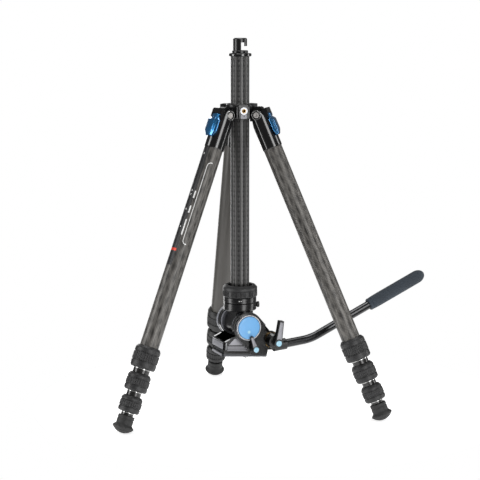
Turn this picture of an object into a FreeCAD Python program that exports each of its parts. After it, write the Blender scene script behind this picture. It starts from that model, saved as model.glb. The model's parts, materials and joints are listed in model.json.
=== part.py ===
import FreeCAD, Part
import os
from math import cos, pi, radians, sin, sqrt

# Travel video tripod: three four-section legs on a spider, a reversed centre column and a fluid head
# under it. Lengths in millimetres, +Z up. Everything is laid out round the column axis and moved by
# FRAME_SHIFT at the end, so that the origin is the middle of the box round the whole tripod, at ground
# level.

os.makedirs("parts", exist_ok=True)
Vector = FreeCAD.Vector

FRAME_SHIFT = Vector(-51.4, -36.5, 1.4)
GAP = 0.3  # radial gap between pieces that move past each other

# Legs
LEG_AZIMUTHS = {"left": -139.15, "right": -19.15, "rear": 100.85}
LEG_TILT = 23.7  # from the vertical
HINGE_RADIUS = 30.0
HINGE_HEIGHT = 450.3
LUG_HALF_WIDTH = 6.8
LUG_RADIUS = 10.0
RATCHET_RADIUS = 12.3
EAR_RADIUS = 8.2
EAR_INNER = 7.1
EAR_OUTER = 15.1
SPOT_FACE = 13.9  # flat round the bolt on the ear's outside
SPOT_RADIUS = 7.3
SLEEVE_RADIUS = 15.1
SLEEVE_START = 17.5
SLEEVE_FLOOR_END = 26.0
SLEEVE_END = 53.7
BOLT_RADIUS = 3.0
BOLT_HEAD_RADIUS = 4.4
TUBE_WALL = 1.3
TUBE_RADII = (14.0, 12.4, 10.8, 9.2)
TUBE_STARTS = (26.3, 60.0, 70.0, 80.0)
TUBE_ENDS = (386.0, 421.0, 453.5, 478.0)
LOCK_RADII = (19.25, 17.5, 16.25)
LOCK_STARTS = (361.0, 401.4, 435.9)
LOCK_ENDS = (393.9, 428.3, 460.3)
FOOT_TOP = 465.2
FOOT_TOP_RADIUS = 12.2
FOOT_NECK = 478.0
FOOT_FLANGE = 482.1
FOOT_FLANGE_RADIUS = 15.75
FOOT_END = 491.5
FOOT_DOME_RADIUS = 19.8

# Spider
SPIDER_BOTTOM = 445.0
SPIDER_TOP = 466.0
RING_RADIUS = 21.3
BOSS_RADIUS = 29.4
BOSS_HALF_WIDTH = 7.2
SOCKET_HEIGHT = 457.0
SOCKET_RADIUS = 5.3
CAMERA_THREAD_RADIUS = 3.175  # 1/4 inch
BUSH_RADIUS = 17.0

# Column
COLUMN_RADIUS = 14.0
COLUMN_WALL = 1.7
COLUMN_BOTTOM = 176.0
COLUMN_TOP = 536.4
FLUTE_COUNT = 12  # shallow grooves that stop the column turning
FLUTE_PHASE = -68.0
FLANGE_RADIUS = 17.1
FLANGE_TOP = 540.8
HOOK_BASE_RADIUS = 12.0
HOOK_RADIUS = 10.5
HOOK_BASE_TOP = 545.0
HOOK_TOP = 563.3
HOOK_POST_EDGE = 1.7  # the hook's slot is open on +X from here
HOOK_TIP_EDGE = 6.2
HOOK_SLOT_TOP = 551.6
HOOK_UNDERCUT_TOP = 557.0

# Head: built with x along the handle, y away from its front face, z up
HEAD_AZIMUTH = 21.5
COLLAR_RADIUS = 26.2
COLLAR_OPENING = 18.5
COLLAR_BOTTOM = 174.0
COLLAR_TOP = 191.8
HUB_RADIUS = COLLAR_OPENING - GAP
HUB_TOP = 184.8
PAN_RADIUS = 24.75
PAN_BOTTOM = 153.2
PAN_JOINT = 164.9  # height where the turning base meets the platform
PLATFORM_TOP = 173.6
TILT_HEIGHT = 131.3
HEAD_LEAN = 4.8  # the tilting part leans this much, handle side down
ARM_INNER = 25.2
ARM_OUTER = 33.5
ARM_RADIUS = 22.9
CLAMP_BOTTOM = 88.6
CLAMP_TOP = 106.6
CLAMP_LEFT, CLAMP_RIGHT = -34.0, 35.0
CLAMP_SPLIT = 93.4  # height of the dovetail's roof
DOVETAIL_TOP_HALF = 18.6
DOVETAIL_MOUTH_HALF = 16.2
PLATE_LEFT, PLATE_RIGHT = -34.0, 40.0
PLATE_BOTTOM = 83.9
PLATE_TOP = 88.2
PLATE_HALF_WIDTH = 23.0
STUD_END = 77.6
STUD_X = 13.6
LEVER_X, LEVER_Z = 12.0, 98.9
LEVER_FRONT = 43.6
ROSETTE_X, ROSETTE_Z = 40.5, 108.0
ROSETTE_RADIUS = 11.8
ROSETTE_FRONT = 29.8
SOCKET_FRONT = 47.0
HANDLE_OFFSET = 38.5  # the rod's distance in front of the column axis
ROD_RADIUS = 6.5
ROD_START_X, ROD_START_Z = 46.0, 101.4
ROD_FIRST_SLOPE = 6.0
ROD_FIRST_LENGTH = 42.2
ROD_BEND_RADIUS = 76.0
ROD_SLOPE = 25.0
ROD_STRAIGHT = 95.0
GRIP_LENGTH = 104.0
GRIP_RADIUS = 9.9

X, Y, Z = Vector(1, 0, 0), Vector(0, 1, 0), Vector(0, 0, 1)
parts = {}


def rod(radius, start, end, axis=Z, at=Vector()):
    """A cylinder from start to end along an axis through a point."""
    return Part.makeCylinder(radius, end - start, at + axis * start, axis)


def pipe(outer, inner, start, end, axis=Z, at=Vector()):
    """A round tube."""
    return rod(outer, start, end, axis, at).cut(rod(inner, start - 1, end + 1, axis, at))


def block(x0, x1, y0, y1, z0, z1):
    """A box between two corners."""
    return Part.makeBox(x1 - x0, y1 - y0, z1 - z0, Vector(x0, y0, z0))


def turned(profile):
    """A solid of revolution about Z from a closed outline of radius and height pairs."""
    points = [Vector(r, 0, h) for r, h in profile]
    wire = Part.makePolygon(points + points[:1])
    return Part.Face(wire).revolve(Vector(), Z, 360)


def plate(outline, y0, y1):
    """A flat plate with an outline of x and z pairs, between two y planes."""
    points = [Vector(x, y0, z) for x, z in outline]
    wire = Part.makePolygon(points + points[:1])
    return Part.Face(wire).extrude(Vector(0, y1 - y0, 0))


def arc_points(cx, cz, radius, first, last, steps=16):
    """Points along an arc in the x-z plane, angles in degrees from +X towards +Z."""
    angles = [radians(first + (last - first) * i / steps) for i in range(steps + 1)]
    return [(cx + radius * cos(a), cz + radius * sin(a)) for a in angles]


def joined(shapes):
    """One solid from several that touch or overlap."""
    return shapes[0].multiFuse(shapes[1:]).removeSplitter()


def hex_socket(across, start, end, axis, at):
    """A hexagonal recess for a key."""
    side = axis.cross(X if abs(axis.x) < 0.9 else Y).normalize()
    other = axis.cross(side)
    radius = across / sqrt(3)
    points = [at + axis * start + side * (radius * cos(pi * i / 3)) + other * (radius * sin(pi * i / 3))
              for i in range(6)]
    return Part.Face(Part.makePolygon(points + points[:1])).extrude(axis * (end - start))


# ---------------------------------------------------------------- legs
# Leg frame: z runs down the leg from the hinge pin, x points outwards, y is the pin's axis.


def leg_yoke():
    sleeve = turned([(0, SLEEVE_START), (12.4, SLEEVE_START), (SLEEVE_RADIUS, 21.5),
                     (SLEEVE_RADIUS, SLEEVE_END - 0.8), (SLEEVE_RADIUS - 0.8, SLEEVE_END), (0, SLEEVE_END)])
    sleeve = sleeve.cut(rod(TUBE_RADII[0] + 0.03, SLEEVE_FLOOR_END, SLEEVE_END + 1))
    # Each ear is a slice of the round sleeve with a round end
    ear = plate([(-EAR_RADIUS, 0), (EAR_RADIUS, 0), (13.2, 15), (14.6, SLEEVE_START + 4.5),
                 (-14.6, SLEEVE_START + 4.5),
                 (-13.2, 15)], -EAR_OUTER, EAR_OUTER)
    ear = ear.fuse(rod(EAR_RADIUS, -EAR_OUTER, EAR_OUTER, Y)).common(rod(SLEEVE_RADIUS, -20, 30))
    pieces = [sleeve]
    for side in (-1, 1):
        y0, y1 = sorted((side * EAR_INNER, side * EAR_OUTER))
        pieces.append(ear.common(block(-20, 20, y0, y1, -20, 30)))
        # Guide cheek beside the angle stop's neck
        c0, c1 = sorted((side * 8.4, side * 10.8))
        pieces.append(plate([(5, -1), (13, -5.5), (16.4, -4), (16.4, 7.4), (14.2, 8.4),
                             (14, SLEEVE_START + 3),
                             (5, SLEEVE_START + 3)], c0, c1))
    # Bridge above the stop's nose
    pieces.append(block(12.9, 16.9, -9, 9, -5.2, 2.7))
    yoke = joined(pieces)
    yoke = yoke.cut(rod(BOLT_RADIUS + 0.05, -20, 20, Y))
    for side in (-1, 1):
        y0, y1 = sorted((side * SPOT_FACE, side * 20))
        yoke = yoke.cut(rod(SPOT_RADIUS, y0, y1, Y))
        y0, y1 = sorted((side * (SPOT_FACE - 2.1), side * 20))
        yoke = yoke.cut(rod(BOLT_HEAD_RADIUS + 0.2, y0, y1, Y))
    return yoke.cut(rod(2.5, 8, 20, X, Vector(0, 0, 21.8)))


def angle_stop():
    neck = block(12.9, 17.2, -8, 8, 3.0, 11)
    wide = 12.8
    outline = [(-8, 9), (8, 9), (wide, 13), (wide, 31), (7.4, 38.4), (-7.4, 38.4), (-wide, 31), (-wide, 13)]
    points = [Vector(15.5, y, z) for y, z in outline]
    tab = Part.Face(Part.makePolygon(points + points[:1])).extrude(X * 3.6)
    ridge_outline = [(-4.8, 10), (4.8, 10), (4.8, 37), (-4.8, 37)]
    points = [Vector(19, y, z) for y, z in ridge_outline]
    ridge = Part.Face(Part.makePolygon(points + points[:1])).extrude(X * 1.3)
    stem = rod(2.3, 9, 16, X, Vector(0, 0, 21.8))
    return joined([neck, tab, ridge, stem])


def leg_tube(i):
    return pipe(TUBE_RADII[i], TUBE_RADII[i] - TUBE_WALL, TUBE_STARTS[i], TUBE_ENDS[i])


def twist_lock(i):
    radius, start, end = LOCK_RADII[i], LOCK_STARTS[i], LOCK_ENDS[i]
    upper, lower = TUBE_RADII[i] + GAP, TUBE_RADII[i + 1] + GAP
    step = TUBE_ENDS[i] + 0.5
    third = (end - start) / 3
    profile = [(upper, start), (radius - 2.6, start), (radius, start + 3.4)]
    for groove in (start + third, end - third):
        profile += [(radius, groove - 0.7), (radius - 0.9, groove), (radius, groove + 0.7)]
    profile += [(radius, end - 2.4), (radius - 2.0, end), (lower, end), (lower, step), (upper, step)]
    return turned(profile)


def foot():
    radius = FOOT_FLANGE_RADIUS
    centre = FOOT_END - FOOT_DOME_RADIUS
    start = sqrt(FOOT_DOME_RADIUS ** 2 - radius ** 2)
    heights = [start + (FOOT_DOME_RADIUS - start) * i / 12 for i in range(12)]
    dome = [(sqrt(FOOT_DOME_RADIUS ** 2 - h ** 2), centre + h) for h in heights]
    profile = [(0, FOOT_NECK + 0.3), (TUBE_RADII[3] + 0.03, FOOT_NECK + 0.3),
               (TUBE_RADII[3] + 0.03, FOOT_TOP), (FOOT_TOP_RADIUS - 1, FOOT_TOP),
               (FOOT_TOP_RADIUS, FOOT_TOP + 1.2), (FOOT_TOP_RADIUS, FOOT_NECK - 4),
               (FOOT_TOP_RADIUS - 0.8, FOOT_NECK - 2), (radius - 1.2, FOOT_FLANGE - 0.6),
               (radius, FOOT_FLANGE)]
    return turned(profile + dome + [(0, FOOT_END)])


def leg_matrix(azimuth):
    outward = Vector(cos(radians(azimuth)), sin(radians(azimuth)), 0)
    lean = radians(LEG_TILT)
    down = outward * sin(lean) - Z * cos(lean)
    normal = outward * cos(lean) + Z * sin(lean)
    across = down.cross(normal)
    pin = outward * HINGE_RADIUS + Z * HINGE_HEIGHT
    return FreeCAD.Matrix(normal.x, across.x, down.x, pin.x, normal.y, across.y, down.y, pin.y,
                          normal.z, across.z, down.z, pin.z, 0, 0, 0, 1)


leg_pieces = {"leg_yoke": leg_yoke(), "angle_stop": angle_stop(), "foot": foot()}
for i in range(4):
    leg_pieces["leg_tube_%d" % (i + 1)] = leg_tube(i)
for i in range(3):
    leg_pieces["twist_lock_%d" % (i + 1)] = twist_lock(i)
for leg, azimuth in LEG_AZIMUTHS.items():
    for name, shape in leg_pieces.items():
        placed = shape.copy()
        placed.Placement = FreeCAD.Placement(leg_matrix(azimuth))
        parts[leg + "_" + name] = placed

# ---------------------------------------------------------------- spider


def turn(shape, azimuth):
    """The shape turned about the column axis."""
    copy = shape.copy()
    copy.rotate(Vector(), Z, azimuth)
    return copy


def hinge_lug():
    """Lug for one leg, pointing along +X."""
    pin = Vector(HINGE_RADIUS, 0, HINGE_HEIGHT)
    width = LUG_HALF_WIDTH
    lug = rod(LUG_RADIUS, -width, width, Y, pin)
    neck = block(18, HINGE_RADIUS, -width, width, HINGE_HEIGHT - LUG_RADIUS, HINGE_HEIGHT + LUG_RADIUS)
    crown = rod(RATCHET_RADIUS, -width + 1, width - 1, Y, pin)
    crown = crown.common(block(20, 50, -width, width, HINGE_HEIGHT + 1, SPIDER_TOP))
    for angle in (28, 58, 88):
        notch = rod(1.1, -width, width, Y, pin + Vector(cos(radians(angle)), 0,
                                                        sin(radians(angle))) * RATCHET_RADIUS)
        crown = crown.cut(notch)
    web = block(18, 29, -width + 1, width - 1, HINGE_HEIGHT, HINGE_HEIGHT + RATCHET_RADIUS - 0.6)
    lug = joined([lug, neck, crown, web])
    return lug.cut(rod(BOLT_RADIUS + GAP, -20, 20, Y, pin))


ring = turned([(BUSH_RADIUS + 0.03, SPIDER_BOTTOM), (RING_RADIUS - 1, SPIDER_BOTTOM),
               (RING_RADIUS, SPIDER_BOTTOM + 1), (RING_RADIUS, SPIDER_TOP - 1),
               (RING_RADIUS - 1, SPIDER_TOP), (BUSH_RADIUS + 0.03, SPIDER_TOP)])
front_azimuth = LEG_AZIMUTHS["right"] - 60
boss = block(18, BOSS_RADIUS, -BOSS_HALF_WIDTH, BOSS_HALF_WIDTH, SPIDER_BOTTOM, SPIDER_TOP - 0.6)
boss = boss.makeChamfer(1.0, [e for e in boss.Edges if e.CenterOfMass.x > BOSS_RADIUS - 0.1])
flare = block(17.5, 24.5, -9.6, 9.6, SPIDER_BOTTOM + 0.8, SPIDER_TOP - 3)
spider = joined([ring] + [turn(boss.fuse(flare), front_azimuth + 120 * i) for i in range(3)]
                + [turn(hinge_lug(), azimuth) for azimuth in LEG_AZIMUTHS.values()])
spider = spider.cut(rod(BUSH_RADIUS + 0.03, SPIDER_BOTTOM - 10, SPIDER_TOP + 10))
socket_axis = Vector(cos(radians(front_azimuth)), sin(radians(front_azimuth)), 0)
socket_at = Z * SOCKET_HEIGHT
spider = spider.cut(rod(SOCKET_RADIUS - 0.3, 21, 40, socket_axis, socket_at))
key_at = Z * 449.4
spider = spider.cut(rod(2.5, 20, 40, socket_axis, key_at))
parts["spider"] = spider

socket = joined([rod(SOCKET_RADIUS - 0.33, 21.2, BOSS_RADIUS, socket_axis, socket_at),
                 rod(SOCKET_RADIUS + 0.2, BOSS_RADIUS, BOSS_RADIUS + 1.7, socket_axis, socket_at)])
parts["accessory_socket"] = socket.cut(rod(CAMERA_THREAD_RADIUS, 22.2, 40, socket_axis, socket_at))
key_screw = joined([rod(2.45, 20.2, BOSS_RADIUS, socket_axis, key_at),
                    turn(block(BOSS_RADIUS, BOSS_RADIUS + 1.1, -4.4, 4.4, 445.6, 451.2), front_azimuth)])
parts["bush_key_screw"] = key_screw.cut(hex_socket(2.4, BOSS_RADIUS - 0.6, BOSS_RADIUS + 3, socket_axis,
                                                   key_at))

bolts = []
for azimuth in LEG_AZIMUTHS.values():
    pin = Vector(HINGE_RADIUS, 0, HINGE_HEIGHT)
    bolt = joined([rod(BOLT_RADIUS, -13.6, 13.6, Y, pin), rod(BOLT_HEAD_RADIUS, 11.9, 13.7, Y, pin),
                   rod(BOLT_HEAD_RADIUS, -13.7, -11.9, Y, pin)])
    for side in (-1, 1):
        bolt = bolt.cut(hex_socket(4.0, 12.4, 15, Y * side, pin))
    bolts.append(turn(bolt, azimuth))
parts["leg_hinge_bolts"] = Part.makeCompound(bolts)

bush = turned([(COLUMN_RADIUS + GAP, SPIDER_BOTTOM - 1.2), (BUSH_RADIUS + 1, SPIDER_BOTTOM - 1.2),
               (BUSH_RADIUS + 1, SPIDER_BOTTOM - 0.03), (BUSH_RADIUS, SPIDER_BOTTOM - 0.03),
               (BUSH_RADIUS, SPIDER_TOP),
               (COLUMN_RADIUS + GAP + 0.6, SPIDER_TOP), (COLUMN_RADIUS + GAP, SPIDER_TOP - 0.8)])
parts["column_bush"] = bush

# ---------------------------------------------------------------- column
column = pipe(COLUMN_RADIUS, COLUMN_RADIUS - COLUMN_WALL, COLUMN_BOTTOM, COLUMN_TOP)
for i in range(FLUTE_COUNT):
    flute = rod(1.2, COLUMN_BOTTOM - 1, COLUMN_TOP + 1, Z, Vector(COLUMN_RADIUS + 0.55, 0, 0))
    column = column.cut(turn(flute, FLUTE_PHASE + 360 * i / FLUTE_COUNT))
parts["center_column"] = column
end_cap = turned([(3.4, COLUMN_TOP - 18), (COLUMN_RADIUS - COLUMN_WALL - 0.05, COLUMN_TOP - 18),
                  (COLUMN_RADIUS - COLUMN_WALL - 0.05, COLUMN_TOP + 0.02),
                  (FLANGE_RADIUS - 0.6, COLUMN_TOP + 0.02),
                  (FLANGE_RADIUS, COLUMN_TOP + 0.7), (FLANGE_RADIUS, FLANGE_TOP - 0.7),
                  (FLANGE_RADIUS - 0.7, FLANGE_TOP), (3.4, FLANGE_TOP)])
parts["column_end_cap"] = end_cap
hook = turned([(0, COLUMN_TOP - 22), (3.0, COLUMN_TOP - 22), (3.0, FLANGE_TOP + 0.4),
               (HOOK_BASE_RADIUS - 0.5, FLANGE_TOP + 0.4), (HOOK_BASE_RADIUS, FLANGE_TOP + 0.9),
               (HOOK_BASE_RADIUS, HOOK_BASE_TOP - 0.6),
               (HOOK_BASE_RADIUS - 0.6, HOOK_BASE_TOP), (HOOK_RADIUS, HOOK_BASE_TOP),
               (HOOK_RADIUS, HOOK_TOP - 1.2),
               (HOOK_RADIUS - 1.2, HOOK_TOP), (0, HOOK_TOP)])
hook = hook.cut(block(HOOK_POST_EDGE, 20, -20, 20, HOOK_BASE_TOP, HOOK_SLOT_TOP))
hook = hook.cut(block(HOOK_POST_EDGE, HOOK_TIP_EDGE, -20, 20, HOOK_BASE_TOP, HOOK_UNDERCUT_TOP))
parts["ballast_hook"] = hook

# ---------------------------------------------------------------- head
head = {}
tilt_at = Vector(0, 0, TILT_HEIGHT)

head["column_collar"] = turned([
    (COLLAR_OPENING, COLLAR_BOTTOM), (COLLAR_RADIUS - 1.2, COLLAR_BOTTOM),
    (COLLAR_RADIUS, COLLAR_BOTTOM + 1.2),
    (COLLAR_RADIUS, COLLAR_TOP - 6.4), (COLLAR_RADIUS - 0.5, COLLAR_TOP - 5.8),
    (COLLAR_RADIUS - 0.5, COLLAR_TOP - 3),
    (COLLAR_RADIUS - 3.4, COLLAR_TOP), (COLLAR_OPENING + 0.8, COLLAR_TOP),
    (COLLAR_OPENING, COLLAR_TOP - 0.8)])

platform = turned([(0, PAN_JOINT + 0.5), (PAN_RADIUS - 0.5, PAN_JOINT + 0.5), (PAN_RADIUS, PAN_JOINT + 1.0),
                   (PAN_RADIUS, PLATFORM_TOP - 0.6), (PAN_RADIUS - 0.6, PLATFORM_TOP),
                   (HUB_RADIUS, PLATFORM_TOP),
                   (HUB_RADIUS, HUB_TOP), (COLUMN_RADIUS + 0.03, HUB_TOP),
                   (COLUMN_RADIUS + 0.03, COLUMN_BOTTOM - 0.05),
                   (0, COLUMN_BOTTOM - 0.05)])
set_screw = rod(1.4, HUB_TOP, HUB_TOP + 0.8, Z, Vector(12.9, -9.6, 0))
head["head_platform"] = platform.fuse(set_screw)

base = turned([(0, PAN_BOTTOM), (PAN_RADIUS - 1.2, PAN_BOTTOM), (PAN_RADIUS, PAN_BOTTOM + 1.2),
               (PAN_RADIUS, PAN_JOINT - 0.4), (PAN_RADIUS - 0.5, PAN_JOINT), (0, PAN_JOINT)])
knob_axis = Vector(cos(radians(-9.5)), sin(radians(-9.5)), 0)
knob_at = Z * 159.8
head["pan_base"] = base.cut(rod(2.3, 14, 30, knob_axis, knob_at))
knob = joined([rod(2.0, 15, 26, knob_axis, knob_at), rod(3.2, 25.1, 26.2, knob_axis, knob_at),
               rod(4.5, 26.2, 29.4, knob_axis, knob_at)])
for i in range(12):
    angle = 2 * pi * i / 12
    offset = Z * (4.9 * cos(angle)) + knob_axis.cross(Z) * (4.9 * sin(angle))
    knob = knob.cut(rod(0.7, 26.8, 30, knob_axis, knob_at + offset))
head["pan_lock_knob"] = knob

body = joined([rod(17.5, -20.9, 20.9, Y, tilt_at), block(-14, 14, -19, 19, TILT_HEIGHT, PAN_BOTTOM - 0.02)])
head["head_body"] = body.cut(rod(6.3, -30, 30, Y, tilt_at))
head["tilt_shaft"] = joined([rod(6.0, -ARM_INNER, ARM_INNER, Y, tilt_at),
                             rod(21.6, -ARM_INNER, -21.2, Y, tilt_at),
                             rod(21.6, 21.2, ARM_INNER, Y, tilt_at)])


def arm_outline():
    """Round head about the tilt axis, running down between parallel edges to a foot beside the clamp."""
    rim = arc_points(0, TILT_HEIGHT, ARM_RADIUS, 45.7, 225.7, 28)
    return rim + [(9.2, 90.4), (12.0, CLAMP_BOTTOM + 0.4), (34.4, CLAMP_BOTTOM + 0.4), (34.8, 92),
                  (38.2, 125.8)]


def leaning(shape):
    """The shape turned about the tilt axis by the head's lean."""
    copy = shape.copy()
    copy.rotate(tilt_at, Y, HEAD_LEAN)
    return copy


arm = plate(arm_outline(), ARM_INNER, ARM_OUTER)
head["tilt_arm_rear"] = leaning(arm).cut(rod(5.3, 26.5, 40, Y, tilt_at))
front_arm = plate(arm_outline(), -ARM_OUTER, -ARM_INNER).cut(rod(3.3, 20, 40, Y * -1,
                                                                 Vector(LEVER_X, 0, LEVER_Z)))
front_arm = leaning(front_arm)
housing = arc_points(ROSETTE_X, ROSETTE_Z - 1.6, 14.4, -90, 100, 16) + [(20, 124), (20, 94.0)]
web_plate = plate(housing, -26.0, -20.6).cut(rod(22.4, 0, 30, Y * -1, tilt_at))
room = CLAMP_RIGHT + 0.3  # outline of the clamp's side, which the web leaves free
web_plate = web_plate.cut(leaning(plate([(0, 80), (room, 80), (room, CLAMP_TOP + 0.3), (17.8, 115.0),
                                         (0, 115.0)],
                                        -ARM_INNER, 0)))
silver_ring = pipe(20.0, 17.4, ARM_OUTER, 37.6, Y * -1, tilt_at)
front_arm = joined([front_arm, web_plate, silver_ring])
front_arm = front_arm.cut(plate([(28.2, 140), (28.2, 95.0), (60, 95.0), (60, 140)], -40, -26.0))
head["tilt_arm_front"] = front_arm
cap = rod(17.3, ARM_OUTER + 0.02, 38.6, Y * -1, tilt_at)
head["tilt_cap_front"] = cap.makeChamfer(0.9, [e for e in cap.Edges if e.CenterOfMass.y < -38.5])

tilt_knob = joined([rod(23.4, ARM_OUTER + 0.5, 39.8, Y, tilt_at), rod(14.0, 39.8, 42.4, Y, tilt_at),
                    rod(5.0, 27, 35, Y, tilt_at)])
for i in range(24):
    angle = 2 * pi * i / 24
    tilt_knob = tilt_knob.cut(rod(1.1, 33, 40.8, Y, tilt_at + Vector(24 * cos(angle), 0, 24 * sin(angle))))
head["tilt_lock_knob"] = tilt_knob

side = ARM_INNER - 0.02
left, right = CLAMP_LEFT, CLAMP_RIGHT
clamp = block(left, right, -side, side, CLAMP_SPLIT, CLAMP_TOP)
clamp = clamp.makeChamfer(2.6, [e for e in clamp.Edges if abs(e.tangentAt(e.FirstParameter).z) > 0.9])
clamp = clamp.cut(block(left + 4.5, right - 4.5, -21, 21, CLAMP_SPLIT + 2.6, CLAMP_TOP + 1))


def jaw(direction, outer, roof):
    """Clamp jaw along the plate on one side, with its slanted dovetail face."""
    profile = [(outer, CLAMP_BOTTOM), (outer, roof), (DOVETAIL_TOP_HALF + 0.2, roof),
               (DOVETAIL_MOUTH_HALF + 0.2, CLAMP_BOTTOM)]
    points = [Vector(left + 2.6, direction * y, z) for y, z in profile]
    return Part.Face(Part.makePolygon(points + points[:1])).extrude(X * (right - left - 5.2))


clamp = clamp.fuse(jaw(1, side, CLAMP_SPLIT))
# Side walls rise from both ends to the tilt axis
wall = [(left + 2.6, CLAMP_TOP - 1), (left + 2.6, CLAMP_TOP), (-17.5, 114.6), (17.5, 114.6),
        (right - 2.6, CLAMP_TOP),
        (right - 2.6, CLAMP_TOP - 1)]
for y0, y1 in ((-side, -21), (21, side)):
    clamp = clamp.fuse(plate(wall, y0, y1))
for z in (94.6, 97.4):  # grooves along the front panel, between the end pillars
    clamp = clamp.cut(block(left + 6, right - 6, -side - 1, -side + 0.8, z, z + 0.9))
clamp = clamp.cut(rod(22.3, -30, 30, Y, tilt_at)).removeSplitter()
for x0, x1 in ((left - 1, left + 1.4), (right - 1.4, right + 1)):  # step across the foot of each end face
    clamp = clamp.cut(block(x0, x1, -30, 30, CLAMP_BOTTOM - 1, 94.4))
clamp = clamp.cut(rod(3.3, 10, 30, Y * -1, Vector(LEVER_X, 0, LEVER_Z)))
jaw_outer = side - 1.5  # room for the jaw to open inside the front arm
sliding_jaw = jaw(-1, jaw_outer, CLAMP_SPLIT - 0.35)
sliding_jaw = sliding_jaw.cut(block(left + 8, right - 8, -jaw_outer - 1, -jaw_outer + 0.7, 90.4, 91.5))


def lever(at_x, at_z, hub_radius, y0, y1, reach, lean, tip_half, thickness):
    """Locking lever: a hub turning about Y with a tapering arm."""
    hub = rod(hub_radius, y0, y1, Y * -1, Vector(at_x, 0, at_z))
    a = radians(lean)
    along, across = (cos(a), sin(a)), (-sin(a), cos(a))
    half = hub_radius - 1.2
    outline = []
    for d, w in ((0, half), (reach * 0.55, tip_half * 1.1), (reach, tip_half), (reach, -tip_half),
                 (reach * 0.55, -tip_half * 1.2), (0, -half)):
        outline.append((at_x + along[0] * d + across[0] * w, at_z + along[1] * d + across[1] * w))
    return hub.fuse(plate(outline, -y1 + 0.2, -y1 + thickness)).removeSplitter()


clamp_lever = lever(LEVER_X, LEVER_Z, 5.4, ARM_OUTER + 0.4, LEVER_FRONT, 21.5, 114.0, 2.4, 4.4)
root = [(LEVER_X + 3.0, LEVER_Z + 3.6), (LEVER_X - 1.6, LEVER_Z + 12.0), (LEVER_X - 6.0, LEVER_Z + 10.4),
        (LEVER_X - 4.6, LEVER_Z + 1.0)]
clamp_lever = clamp_lever.fuse(plate(root, -LEVER_FRONT + 1, -ARM_OUTER - 1.2))
clamp_lever = clamp_lever.fuse(rod(3.0, 22, ARM_OUTER + 1, Y * -1,
                                   Vector(LEVER_X, 0, LEVER_Z))).removeSplitter()
lever_cap = rod(4.0, LEVER_FRONT + 0.02, LEVER_FRONT + 1.2, Y * -1, Vector(LEVER_X, 0, LEVER_Z))

dove = [(-DOVETAIL_TOP_HALF + 0.5, CLAMP_SPLIT - 0.7), (DOVETAIL_TOP_HALF - 0.5, CLAMP_SPLIT - 0.7),
        (DOVETAIL_MOUTH_HALF - 0.4, CLAMP_BOTTOM - 0.4), (DOVETAIL_MOUTH_HALF - 0.4, PLATE_TOP - 1),
        (-DOVETAIL_MOUTH_HALF + 0.4, PLATE_TOP - 1), (-DOVETAIL_MOUTH_HALF + 0.4, CLAMP_BOTTOM - 0.4)]
points = [Vector(PLATE_LEFT + 2.6, y, z) for y, z in dove]
dovetail = Part.Face(Part.makePolygon(points + points[:1])).extrude(X * (PLATE_RIGHT - PLATE_LEFT - 5.2))
slab = block(PLATE_LEFT, PLATE_RIGHT, -PLATE_HALF_WIDTH, PLATE_HALF_WIDTH, PLATE_BOTTOM, PLATE_TOP)
slab = slab.makeChamfer(2.6, [e for e in slab.Edges if abs(e.tangentAt(e.FirstParameter).z) > 0.9])
camera_plate = slab.fuse(dovetail)
camera_plate = camera_plate.fuse(rod(1.9, 79.4, PLATE_BOTTOM + 1, Z, Vector(-2.5, 0, 0)))
for y in (-18.2, -14.2, 14.2, 18.2):  # grip grooves in the face the camera sits on
    groove = block(PLATE_LEFT + 4, PLATE_RIGHT - 4, y - 0.6, y + 0.6, PLATE_BOTTOM - 1, PLATE_BOTTOM + 0.7)
    camera_plate = camera_plate.cut(groove)
camera_plate = camera_plate.cut(rod(8.4, 86.4, 97, Z, Vector(STUD_X, 0, 0)))
camera_plate = camera_plate.cut(rod(3.6, 70, 97, Z, Vector(STUD_X, 0, 0)))
stud_at = Vector(STUD_X, 0, 0)
screw = joined([rod(8.0, 86.7, 90.2, Z, stud_at), rod(2.8, PLATE_BOTTOM - 0.2, 87, Z, stud_at),
                rod(CAMERA_THREAD_RADIUS, STUD_END, PLATE_BOTTOM - 0.1, Z, stud_at)])
screw = screw.cut(block(STUD_X - 9, STUD_X + 9, -0.8, 0.8, 89.0, 93))

for name, shape in (("clamp_base", clamp), ("clamp_jaw", sliding_jaw), ("clamp_lever", clamp_lever),
                    ("clamp_lever_cap", lever_cap), ("camera_plate", camera_plate), ("camera_screw", screw)):
    head[name] = leaning(shape)

rosette_at = Vector(ROSETTE_X, 0, ROSETTE_Z)
rosette = rod(ROSETTE_RADIUS, 26.02, ROSETTE_FRONT, Y * -1, rosette_at)
for i in range(30):
    angle = 2 * pi * i / 30
    rosette = rosette.cut(rod(0.45, 28.6, 31, Y * -1,
                              rosette_at + Vector(11.9 * cos(angle), 0, 11.9 * sin(angle))))
head["handle_rosette"] = rosette

first, last = radians(ROD_FIRST_SLOPE), radians(ROD_SLOPE)
first_along, along = Vector(cos(first), 0, sin(first)), Vector(cos(last), 0, sin(last))
rod_start = Vector(ROD_START_X, -HANDLE_OFFSET, ROD_START_Z)
socket = joined([rod(ROSETTE_RADIUS - 0.4, ROSETTE_FRONT + 0.35, SOCKET_FRONT, Y * -1, rosette_at),
                 rod(8.6, -7.5, 13, first_along, rod_start)])
socket = socket.cut(rod(ROD_RADIUS + 0.03, -0.05, 40, first_along, rod_start))
head["handle_socket"] = socket.cut(rod(2.4, 40, 60, Y * -1, rosette_at))

bend_start = rod_start + first_along * ROD_FIRST_LENGTH


def on_bend(angle):
    """Point on the bend's centre line where its slope is the given angle."""
    return bend_start + Vector(ROD_BEND_RADIUS * (sin(angle) - sin(first)), 0,
                               ROD_BEND_RADIUS * (cos(first) - cos(angle)))


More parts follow.
